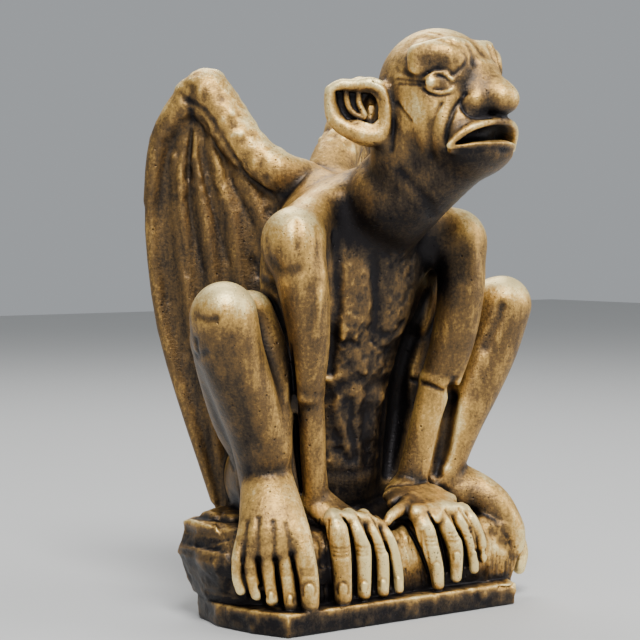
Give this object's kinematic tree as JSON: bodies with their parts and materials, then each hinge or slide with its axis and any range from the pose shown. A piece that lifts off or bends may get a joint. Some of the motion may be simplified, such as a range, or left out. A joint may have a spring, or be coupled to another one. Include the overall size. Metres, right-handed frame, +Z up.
{
  "type": "gargoyle statue",
  "caption": "Free-standing cast gargoyle: winged figure crouching on a rock and slab, hands and feet over its front edge, head turned aside.",
  "frame": {"origin": "middle of the flat underside of the slab, on the floor", "axes": "+Z up; the figure faces -Y with its chest, its own left is +X; its head is turned 13 degrees to its left"},
  "size_m": [0.2028, 0.1755, 0.285],
  "materials": {
    "cast_stone": "cast stone, pitted, under a dark bronze patina dry-brushed with gold on the raised parts; satin sheen"
  },
  "bodies": {
    "root": {"gargoyle": "cast_stone"}
  },
  "joints": []
}
